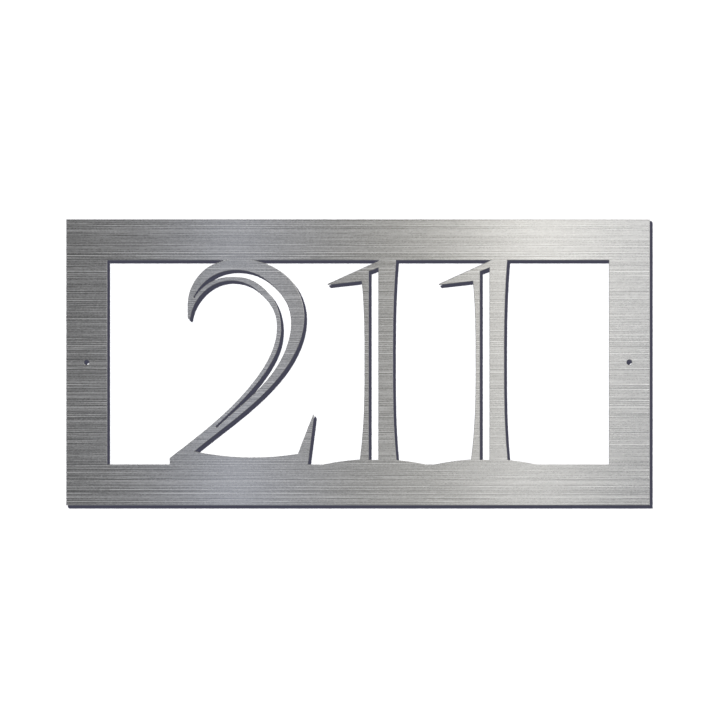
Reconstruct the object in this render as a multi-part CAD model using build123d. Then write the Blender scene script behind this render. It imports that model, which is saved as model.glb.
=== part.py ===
from build123d import *
import os

# A house number plaque, cut from one flat sheet of brushed stainless steel: a rectangular frame, and the
# numerals 2, 1 and 1 that stand in its window and join its lower bar to its upper one.
# X runs along the plaque and Z is up. The back lies in the plane Y = 0, against the wall, and the front
# faces -Y. The origin is midway between the two screw holes. All sizes are in millimetres.

# Sheet and frame
sheet_thickness = 3.0
edge_break = 0.3
window_width = 306.0
window_height = 124.5
border_width = 25.0
screw_hole_diameter = 3.2

# Row of numerals: where its middle lies, seen from the window's middle, and the gaps in it
row_offset = -2.9
gap_two_to_one = 6.1
gap_one_to_one = 5.4

# Numeral 2, which is as tall as the window
two_width = 87.8

# Numeral 1, which is as tall as the window, with its reaches taken from the waist of its stem
stem_width = 17.4
foot_flare_left = 3.3
foot_flare_right = 2.4
head_flare_left = 3.2
head_flare_right = 1.9
foot_reach_left = 25.0
foot_reach_right = 20.0
foot_rise = 3.3
flag_reach = 22.4
flag_tip_drop = 14.35
flag_tip_thickness = 0.7
flag_root_drop = 12.5
flag_shoulder = 9.2

# Share of a flare that is left a quarter of the height away from its end
flare_left_at_quarter = 0.14

# Inline slot in the stem of the 1: the thin wall on its left, and its distance from each bar
inline_wall = 2.65
inline_width = 5.75
inline_floor = 2.8
inline_drop_left = 6.8
inline_drop_right = 4.6

# Worked out from the sizes above
plaque_width = window_width + 2 * border_width
plaque_height = window_height + 2 * border_width
screw_hole_spacing = window_width + border_width
sill = -window_height / 2
lintel = window_height / 2
root = border_width / 2
one_width = foot_reach_left + stem_width + foot_reach_right
row_width = two_width + gap_two_to_one + one_width + gap_one_to_one + one_width

# Curves of the 2, each from left to right along its bowl, as shares of the numeral's width and height
two_back = [
    (0.126, 0.719), (0.125, 0.755), (0.129, 0.813), (0.143, 0.853), (0.176, 0.900), (0.266, 0.966),
    (0.365, 0.996), (0.489, 1.009), (0.700, 0.974), (0.837, 0.907), (0.926, 0.786), (0.934, 0.692),
    (0.873, 0.547), (0.705, 0.381), (0.478, 0.234), (0.173, 0.064),
]
two_belly = [
    (0.144, 0.719), (0.161, 0.764), (0.206, 0.819), (0.336, 0.889), (0.461, 0.899), (0.583, 0.867),
    (0.658, 0.819), (0.725, 0.751), (0.746, 0.669), (0.712, 0.555), (0.587, 0.408), (0.344, 0.226),
    (0.0, 0.031),
]
two_inline_back = [
    (0.165, 0.819), (0.206, 0.864), (0.284, 0.916), (0.394, 0.948), (0.503, 0.951), (0.622, 0.926),
    (0.747, 0.855), (0.814, 0.789), (0.844, 0.688), (0.817, 0.584), (0.724, 0.456), (0.541, 0.316),
    (0.327, 0.180),
]
two_inline_belly = [
    (0.173, 0.816), (0.233, 0.868), (0.344, 0.911), (0.435, 0.919), (0.550, 0.908), (0.661, 0.859),
    (0.723, 0.807), (0.756, 0.755), (0.775, 0.672), (0.757, 0.579), (0.661, 0.446), (0.531, 0.333),
    (0.319, 0.186),
]
two_terminal = [(0.140, 0.713), (0.130, 0.713)]
two_foot_dip = (0.60, 0.034)
two_spike_root = (0.892, 0.052)
two_spike_bow = (0.944, 0.149)
two_spike_tip = (0.999, 0.246)
two_spike_point = (1.004, 0.239)
two_spike_base = (0.961, 0.0)


def numeral_two(left):
    """The 2, with the tapering slot that follows its bowl and diagonal."""

    def place(share):
        return left + share[0] * two_width, sill + share[1] * window_height

    back = Spline(*map(place, two_back))
    belly = Spline(*map(place, two_belly))
    base = place(two_spike_base)
    outline = [
        back,
        ThreePointArc(back @ 1, place(two_foot_dip), place(two_spike_root)),
        ThreePointArc(place(two_spike_root), place(two_spike_bow), place(two_spike_tip)),
        Polyline(place(two_spike_tip), place(two_spike_point), base),
        Polyline(base, (base[0], sill - root), (left, sill - root), belly @ 1),
        belly,
        Polyline(belly @ 0, *map(place, two_terminal), back @ 0),
    ]
    slot_back = Spline(*map(place, two_inline_back))
    slot_belly = Spline(*map(place, two_inline_belly))
    slot = [slot_back, Line(slot_back @ 1, slot_belly @ 1), slot_belly, Line(slot_belly @ 0, slot_back @ 0)]
    return make_face(outline) - make_face(slot)


def stem_side(waist, foot_flare, head_flare):
    """One long side of the stem, from the sill to the lintel, straight at the waist and flared at its ends."""
    return Spline(
        (waist + foot_flare, sill),
        (waist + foot_flare * flare_left_at_quarter, sill / 2),
        (waist, 0),
        (waist + head_flare * flare_left_at_quarter, lintel / 2),
        (waist + head_flare, lintel),
    )


def numeral_one(left):
    """The 1: a foot, a stem with a waist, and a flag at its upper left, with a straight slot in the stem."""
    stem_left = left + foot_reach_left
    stem_right = stem_left + stem_width
    right = left + one_width
    foot = make_face([
        ThreePointArc((left, sill), ((left + right) / 2, sill + foot_rise), (right, sill)),
        Polyline((right, sill), (right, sill - root), (left, sill - root), (left, sill)),
    ])
    left_side = stem_side(stem_left, -foot_flare_left, -head_flare_left)
    right_side = stem_side(stem_right, foot_flare_right, head_flare_right)
    stem = make_face([
        left_side,
        Line(left_side @ 1, right_side @ 1),
        right_side,
        Line(right_side @ 0, left_side @ 0),
    ])
    flag_tip = (stem_left - flag_reach, lintel - flag_tip_drop)
    shoulder = (stem_left + flag_shoulder, lintel)
    flag = make_face(Polyline(
        flag_tip,
        (stem_left - flag_reach, lintel - flag_tip_drop - flag_tip_thickness),
        (stem_left, lintel - flag_root_drop),
        (stem_left + flag_shoulder, lintel - flag_root_drop),
        shoulder,
        close=True,
    ))
    over_flag = make_face(Polyline(flag_tip, shoulder, (stem_left - flag_reach, lintel), close=True))
    slot_left = stem_left + inline_wall
    slot_right = slot_left + inline_width
    slot = make_face(Polyline(
        (slot_left, sill + inline_floor),
        (slot_right, sill + inline_floor),
        (slot_right, lintel - inline_drop_right),
        (slot_left, lintel - inline_drop_left),
        close=True,
    ))
    return foot + stem + flag - over_flag - slot


def number_plaque():
    """The whole sheet: frame, numerals and screw holes, cut square, with every front edge eased."""
    two_left = row_offset - row_width / 2
    first_one_left = two_left + two_width + gap_two_to_one
    second_one_left = first_one_left + one_width + gap_one_to_one
    frame = Rectangle(plaque_width, plaque_height) - Rectangle(window_width, window_height)
    numerals = numeral_two(two_left) + numeral_one(first_one_left) + numeral_one(second_one_left)
    holes = GridLocations(screw_hole_spacing, 0, 2, 1) * Circle(screw_hole_diameter / 2)
    outline = frame + numerals - holes
    sheet = extrude(Plane.XZ * outline, amount=sheet_thickness)
    front = sheet.faces().sort_by(Axis.Y)[0]
    return chamfer(front.edges(), edge_break)


os.makedirs("parts", exist_ok=True)
export_step(number_plaque(), "parts/number_plaque.step")
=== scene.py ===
from math import pi

import bpy
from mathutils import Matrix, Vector


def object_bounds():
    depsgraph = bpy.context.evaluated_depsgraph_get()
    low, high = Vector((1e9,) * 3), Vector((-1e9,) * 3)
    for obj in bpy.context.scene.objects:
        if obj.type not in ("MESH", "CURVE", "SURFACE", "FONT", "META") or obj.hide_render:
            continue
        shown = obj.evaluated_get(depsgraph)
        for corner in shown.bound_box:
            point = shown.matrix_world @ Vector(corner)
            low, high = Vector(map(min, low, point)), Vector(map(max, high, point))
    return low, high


# A house number plaque of brushed stainless steel, hung in front of a white backdrop.
# Metres, in the frame of the part: X along the plaque, Z up, back at Y = 0 and front towards -Y.

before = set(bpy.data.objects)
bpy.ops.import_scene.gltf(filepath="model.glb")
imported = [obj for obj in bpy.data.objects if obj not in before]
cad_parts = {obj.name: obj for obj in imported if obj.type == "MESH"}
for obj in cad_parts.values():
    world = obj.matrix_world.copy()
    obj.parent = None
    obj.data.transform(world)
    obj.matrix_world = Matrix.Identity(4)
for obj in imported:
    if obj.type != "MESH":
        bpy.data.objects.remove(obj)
cad_low, cad_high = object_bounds()
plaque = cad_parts["number_plaque"]
sheet_thickness = cad_high.y - cad_low.y

# View: the width of one pixel, the pixels across the frame, and the point in the frame's middle
pixel = 0.00061
frame_pixels = 720
frame_middle = Vector((0.00119, 0, 0.00146))
camera_distance = 0.6

# Key light: how far it throws the front outline's shadow on the backdrop, its strength and its angle
shadow_right = 3.03 * pixel
shadow_down = 3.42 * pixel
key_strength = 4.1
key_angle = 0.015

# Fill light, and the white that the eye and reflections see around the plaque
fill_light = (0.068, 0.069, 0.100, 1)
white = (1, 1, 1, 1)

# Backdrop and floor, with the share of white in the floor where it is seen
backdrop_gap = 0.003
backdrop_size = 3.0
backdrop_tone = (0.9, 0.9, 0.9, 1)
floor_size = 8.0
floor_level = -0.5
floor_tone = (0.85, 0.85, 0.85, 1)
floor_white_share = 0.85

# Light tent: a tube along X, its strength, and how far its tones reach to each side, a plaque's width
tent_radius = 0.35
tent_length = 1.2
tent_sides = 96
tent_strength = 1.025
tent_reach = cad_high.x - cad_low.x

# Tones of the tent's cloth from left to right, each with its place as a share of the whole reach
tent_tones = [
    (0.10, (0.60, 0.60, 0.60)),
    (0.20, (0.08, 0.08, 0.08)),
    (0.31, (0.195, 0.195, 0.2)),
    (0.37, (0.335, 0.345, 0.38)),
    (0.397, (0.56, 0.58, 0.65)),
    (0.42, (0.345, 0.35, 0.38)),
    (0.50, (0.34, 0.335, 0.322)),
    (0.57, (0.53, 0.521, 0.495)),
    (0.65, (1.04, 1.026, 0.99)),
    (0.75, (0.643, 0.648, 0.657)),
    (0.95, (1.0, 1.0, 1.0)),
]

# How the tent's level rises with height, per metre, at two places along X, and the least that it falls to
rise_left_x = -0.03
rise_left = -0.9
rise_right_x = 0.17
rise_right = 3.4
least_level = 0.1

# How the tent's red rises and its blue falls with height, per metre
red_rise = 0.07
blue_fall = 0.17

# Depths behind the front at which its face ends and its eased corner ends, and how soft those ends are
face_end = 0.000012
face_end_soft = 0.000016
corner_end = 0.00032
corner_end_soft = 0.00004

# Depth in front of the back at which the cut wall ends, and how soft that end is
wall_end = 0.00006
wall_end_soft = 0.00004

# Sets of brush lines: the length over which a line fades, its breadth, the set's own noise and its strength
broad_lines = {"length": 0.100, "breadth": 0.0031, "sort": 2.6, "strength": 0.13}
long_lines = {"length": 0.032, "breadth": 0.00082, "sort": 13.9, "strength": 0.46}
short_lines = {"length": 0.012, "breadth": 0.00052, "sort": 5.7, "strength": 0.34}

# All brush lines: the run over which one stays straight, and the breadths between its two noises
line_run = 0.8
line_shift = 0.6

# How they fade: breadths that fade as one, a noise of its own, its range from none to full, and the gain
fade_breadths = 2
fade_sort = 40
fade_none = 0.3
fade_full = 0.7
fade_gain = 2.0

# Grit among the brush lines: specks in a metre along X and Z, its own noise and its strength
grit_along = 833
grit_across = 1430
grit_sort = 9.3
grit_strength = 0.22

# Grain, which is brush lines and grit: how far it counts to each side of 0, and its relief
grain_reach = 0.25
grain_bump = 0.5
grain_depth = 0.00001

# Clouds on the back: how many in a metre along X and Z, and their own noise
clouds_along = 24
clouds_across = 40
clouds_sort = 4.2

# Striations of the cut wall: how many in a metre along the wall and through the sheet, and their relief
striations_along = 2600
striations_through = 160
striation_bump = 0.6
striation_depth = 0.00004

# Tones of the front, the cut wall and the eased corner
front_dark = (0.495, 0.495, 0.495, 1)
front_pale = (0.75, 0.75, 0.75, 1)
wall_dark = (0.20, 0.20, 0.205, 1)
wall_pale = (0.40, 0.40, 0.40, 1)
corner_tone = (0.38, 0.38, 0.38, 1)

# Tones of the back, and the shares of grain and clouds between them
back_dark = (0.38, 0.38, 0.375, 1)
back_pale = (0.74, 0.74, 0.73, 1)
back_grain_share = 0.4
back_cloud_share = 0.6

# Roughness of the flat faces, with what the grain adds and what clouds add on the back
flat_roughness = 0.195
grain_roughness = 0.215
cloud_roughness = 0.12

# Roughness of the eased corner, with what the cut wall adds and what its striations add
corner_roughness = 0.46
wall_roughness = 0.22
striation_roughness = 0.16

# How much the brushing spreads reflections across its lines, and the part of a turn that sets them across
brush_spread = 0.95
brush_turn = 0.25

# Mean of a noise
noise_mean = 0.5


class Wire:
    """A socket of a material's node tree. Arithmetic on wires adds the Math nodes that work it out."""

    def __init__(self, tree, socket=None):
        self.tree = tree
        self.socket = socket

    def node(self, kind, settings, sockets, output=0):
        """Adds a node, with its settings first and then the values or wires of its sockets."""
        made = self.tree.nodes.new("ShaderNode" + kind)
        for name, value in settings.items():
            if name == "stops":
                fill_ramp(made.color_ramp, value)
            else:
                setattr(made, name, value)
        for name, value in sockets.items():
            if isinstance(value, Wire):
                self.tree.links.new(value.socket, made.inputs[name])
            else:
                made.inputs[name].default_value = value
        return Wire(self.tree, made.outputs[output] if made.outputs else None)

    def math(self, operation, *terms):
        return self.node("Math", {"operation": operation}, dict(enumerate(terms)))

    def __add__(self, other):
        return self.math("ADD", self, other)

    def __sub__(self, other):
        return self.math("SUBTRACT", self, other)

    def __rsub__(self, other):
        return self.math("SUBTRACT", other, self)

    def __mul__(self, other):
        return self.math("MULTIPLY", self, other)

    __radd__ = __add__
    __rmul__ = __mul__


def fill_ramp(ramp, stops):
    """Sets a colour ramp's stops, given as (place, colour) from left to right."""
    for place, _ in stops[2:]:
        ramp.elements.new(place)
    for element, (place, colour) in zip(ramp.elements, stops):
        element.position = place
        element.color = (*colour, 1)


def new_material(name):
    """An empty node material, and a wire to add its nodes with."""
    made = bpy.data.materials.new(name)
    made.use_nodes = True
    made.node_tree.nodes.clear()
    return made, Wire(made.node_tree)


def finish_material(start, shader):
    start.node("OutputMaterial", {}, {"Surface": shader})


def object_place(start):
    """X, Y and Z of the point, in the object's own coordinates."""
    place = start.node("TexCoord", {}, {}, "Object")
    return [start.node("SeparateXYZ", {}, {"Vector": place}, axis) for axis in "XYZ"]


def step(value, edge, soft):
    """0 below an edge and 1 above it, with a soft change of that width."""
    return value.node(
        "MapRange",
        {"interpolation_type": "SMOOTHSTEP"},
        {"Value": value, "From Min": edge - soft / 2, "From Max": edge + soft / 2},
    )


def noise(start, x, y, z):
    """Smooth noise from 0 to 1, with one bump or hollow to about each unit of x, y and z."""
    place = start.node("CombineXYZ", {}, {"X": x, "Y": y, "Z": z})
    return start.node("TexNoise", {}, {"Vector": place, "Scale": 1.0, "Detail": 0.0})


def mix_colour(start, share, first, second):
    return start.node("Mix", {"data_type": "RGBA"}, {0: share, 6: first, 7: second}, 2)


def mix_shader(start, share, first, second):
    return start.node("MixShader", {}, {0: share, 1: first, 2: second})


def relief(start, height, strength, depth):
    return start.node("Bump", {}, {"Strength": strength, "Distance": depth, "Height": height})


def brush_lines(start, x, z, length, breadth, sort, strength):
    """Straight lines along X of about that breadth, above and below 0 by about that strength.

    They fade in and out over about that length. The sort makes sets of lines differ.
    """
    along = x * (1 / line_run)
    across = z * (1 / breadth)
    lines = noise(start, along, sort, across) - noise(start, along, sort, across + line_shift)
    fade = noise(start, x * (1 / length), sort + fade_sort, across * (1 / fade_breadths))
    gain = start.node(
        "MapRange", {}, {"Value": fade, "From Min": fade_none, "From Max": fade_full, "To Max": fade_gain}
    )
    return lines * gain * strength


def brushed_steel():
    """Brushed stainless steel: grain along X on both faces, a duller back, cut walls and eased corners."""
    made, start = new_material("brushed_steel")
    x, y, z = object_place(start)
    behind_face = step(y, -sheet_thickness + face_end, face_end_soft)
    behind_corner = step(y, -sheet_thickness + corner_end, corner_end_soft)
    back = step(y, -wall_end, wall_end_soft)
    eased_corner = behind_face - behind_corner
    cut_wall = behind_corner - back

    grit = noise(start, x * grit_along, grit_sort, z * grit_across) - noise_mean
    grain = (
        brush_lines(start, x, z, **broad_lines)
        + brush_lines(start, x, z, **long_lines)
        + brush_lines(start, x, z, **short_lines)
        + grit * grit_strength
    )
    brush = start.node("MapRange", {}, {"Value": grain, "From Min": -grain_reach, "From Max": grain_reach})
    clouds = noise(start, x * clouds_along, clouds_sort, z * clouds_across)
    striations = noise(start, x * striations_along, y * striations_through, z * striations_along)

    front_tone = mix_colour(start, brush, front_dark, front_pale)
    back_share = brush * back_grain_share + clouds * back_cloud_share
    back_tone = mix_colour(start, back_share, back_dark, back_pale)
    flat = start.node(
        "BsdfPrincipled",
        {},
        {
            "Base Color": mix_colour(start, back, front_tone, back_tone),
            "Roughness": flat_roughness + brush * grain_roughness + back * (clouds * cloud_roughness),
            "Metallic": 1.0,
            "Normal": relief(start, grain, grain_bump, grain_depth),
            "Anisotropic": brush_spread,
            "Anisotropic Rotation": brush_turn,
        },
    )
    wall_tone = mix_colour(start, striations, wall_dark, wall_pale)
    edge = start.node(
        "BsdfPrincipled",
        {},
        {
            "Base Color": mix_colour(start, eased_corner, wall_tone, corner_tone),
            "Roughness": corner_roughness + (wall_roughness + striations * striation_roughness) * cut_wall,
            "Metallic": 1.0,
            "Normal": relief(start, striations * cut_wall, striation_bump, striation_depth),
        },
    )
    finish_material(start, mix_shader(start, cut_wall + eased_corner, flat, edge))
    return made


def plain_white():
    """The backdrop: matt white, and seen only from its front."""
    made, start = new_material("plain_white")
    matt = start.node("BsdfDiffuse", {}, {"Color": backdrop_tone})
    clear = start.node("BsdfTransparent", {}, {})
    behind = start.node("NewGeometry", {}, {}, "Backfacing")
    finish_material(start, mix_shader(start, behind, matt, clear))
    return made


def light_path(start, name):
    return start.node("LightPath", {}, {}, name)


def before_matt(start):
    """1 on a ray that no matt surface has sent on yet."""
    return 1 - start.math("MINIMUM", light_path(start, "Diffuse Depth"), 1.0)


def seen(start):
    """1 on a ray from the camera, or one that metal or glass sends on."""
    sent_on = light_path(start, "Is Glossy Ray") + light_path(start, "Is Transmission Ray")
    return start.math("MAXIMUM", light_path(start, "Is Camera Ray"), sent_on * before_matt(start))


def pale_floor():
    """The floor: pale, and nearly white to the eye and in reflections."""
    made, start = new_material("pale_floor")
    matt = start.node("BsdfDiffuse", {}, {"Color": floor_tone})
    glow = start.node("Emission", {}, {"Color": white, "Strength": 1.0})
    finish_material(start, mix_shader(start, seen(start) * floor_white_share, matt, glow))
    return made


def soft_tent():
    """The light tent's cloth: dim at left, with a narrow bright band and a broad one further right."""
    made, start = new_material("soft_tent")
    made.cycles.emission_sampling = "NONE"
    x, _, z = object_place(start)
    share = start.node("MapRange", {}, {"Value": x, "From Min": -tent_reach, "From Max": tent_reach})
    tone = start.node("ValToRGB", {"stops": tent_tones}, {0: share})
    cast = start.node("CombineXYZ", {}, {"X": 1 + z * red_rise, "Y": 1.0, "Z": 1 - z * blue_fall})
    tinted = start.node("VectorMath", {"operation": "MULTIPLY"}, {0: tone, 1: cast})
    rise = start.node(
        "MapRange",
        {},
        {
            "Value": x,
            "From Min": rise_left_x,
            "From Max": rise_right_x,
            "To Min": rise_left,
            "To Max": rise_right,
        },
    )
    level = start.math("MAXIMUM", 1 + rise * z, least_level) * before_matt(start)
    light = start.node("VectorMath", {"operation": "SCALE"}, {0: tinted, "Scale": level})
    finish_material(start, start.node("Emission", {}, {"Color": light, "Strength": tent_strength}))
    return made


def stage_piece(name, material, rays):
    """Finishes the piece of the stage that was just added, which only the named kinds of rays see."""
    made = bpy.context.object
    made.name = name
    bpy.ops.object.transform_apply(location=True, rotation=True, scale=True)
    made.data.materials.append(material)
    for kind in ("camera", "diffuse", "glossy", "transmission", "shadow"):
        setattr(made, "visible_" + kind, kind in rays)


def stage():
    """A white backdrop behind the plaque, a pale floor below it, and a light tent that only metal shows."""
    quarter_turn = pi / 2
    bpy.ops.object.select_all(action="DESELECT")
    bpy.ops.mesh.primitive_plane_add(
        size=backdrop_size, location=(0, backdrop_gap, 0), rotation=(quarter_turn, 0, 0)
    )
    stage_piece("backdrop", plain_white(), ("camera",))
    bpy.ops.mesh.primitive_plane_add(size=floor_size, location=(0, 0, floor_level))
    stage_piece("floor", pale_floor(), ("camera", "glossy"))
    bpy.ops.mesh.primitive_cylinder_add(
        vertices=tent_sides, radius=tent_radius, depth=tent_length, rotation=(0, quarter_turn, 0)
    )
    stage_piece("tent", soft_tent(), ("glossy",))


def key_lamp():
    """The key light, from the upper left, which throws the plaque's shadow on the backdrop."""
    depth = sheet_thickness + backdrop_gap
    way = Vector((shadow_right, depth, -shadow_down))
    lamp = bpy.data.lights.new("key", "SUN")
    lamp.energy = key_strength
    lamp.angle = key_angle
    made = bpy.data.objects.new("key", lamp)
    made.rotation_euler = way.to_track_quat("-Z", "Y").to_euler()
    bpy.context.scene.collection.objects.link(made)


def studio_world():
    """White to the eye and in reflections, and a weak bluish fill light."""
    world = bpy.data.worlds.new("studio")
    bpy.context.scene.world = world
    world.use_nodes = True
    world.node_tree.nodes.clear()
    start = Wire(world.node_tree)
    tone = mix_colour(start, seen(start), fill_light, white)
    light = start.node("Background", {}, {"Color": tone, "Strength": 1.0})
    start.node("OutputWorld", {}, {"Surface": light})


def front_camera():
    """A camera square on to the plaque, with no perspective."""
    view = bpy.data.cameras.new("front")
    view.type = "ORTHO"
    view.ortho_scale = frame_pixels * pixel
    made = bpy.data.objects.new("front", view)
    made.location = frame_middle + Vector((0, -camera_distance, 0))
    made.rotation_euler = Vector((0, 1, 0)).to_track_quat("-Z", "Z").to_euler()
    bpy.context.scene.collection.objects.link(made)
    bpy.context.scene.camera = made


plaque.material_slots[0].material = brushed_steel()
# The fill light on the backdrop is even: the plaque blocks none of it and sends none on
plaque.visible_diffuse = False
stage()
key_lamp()
studio_world()
front_camera()
bpy.context.scene.view_settings.view_transform = "Standard"
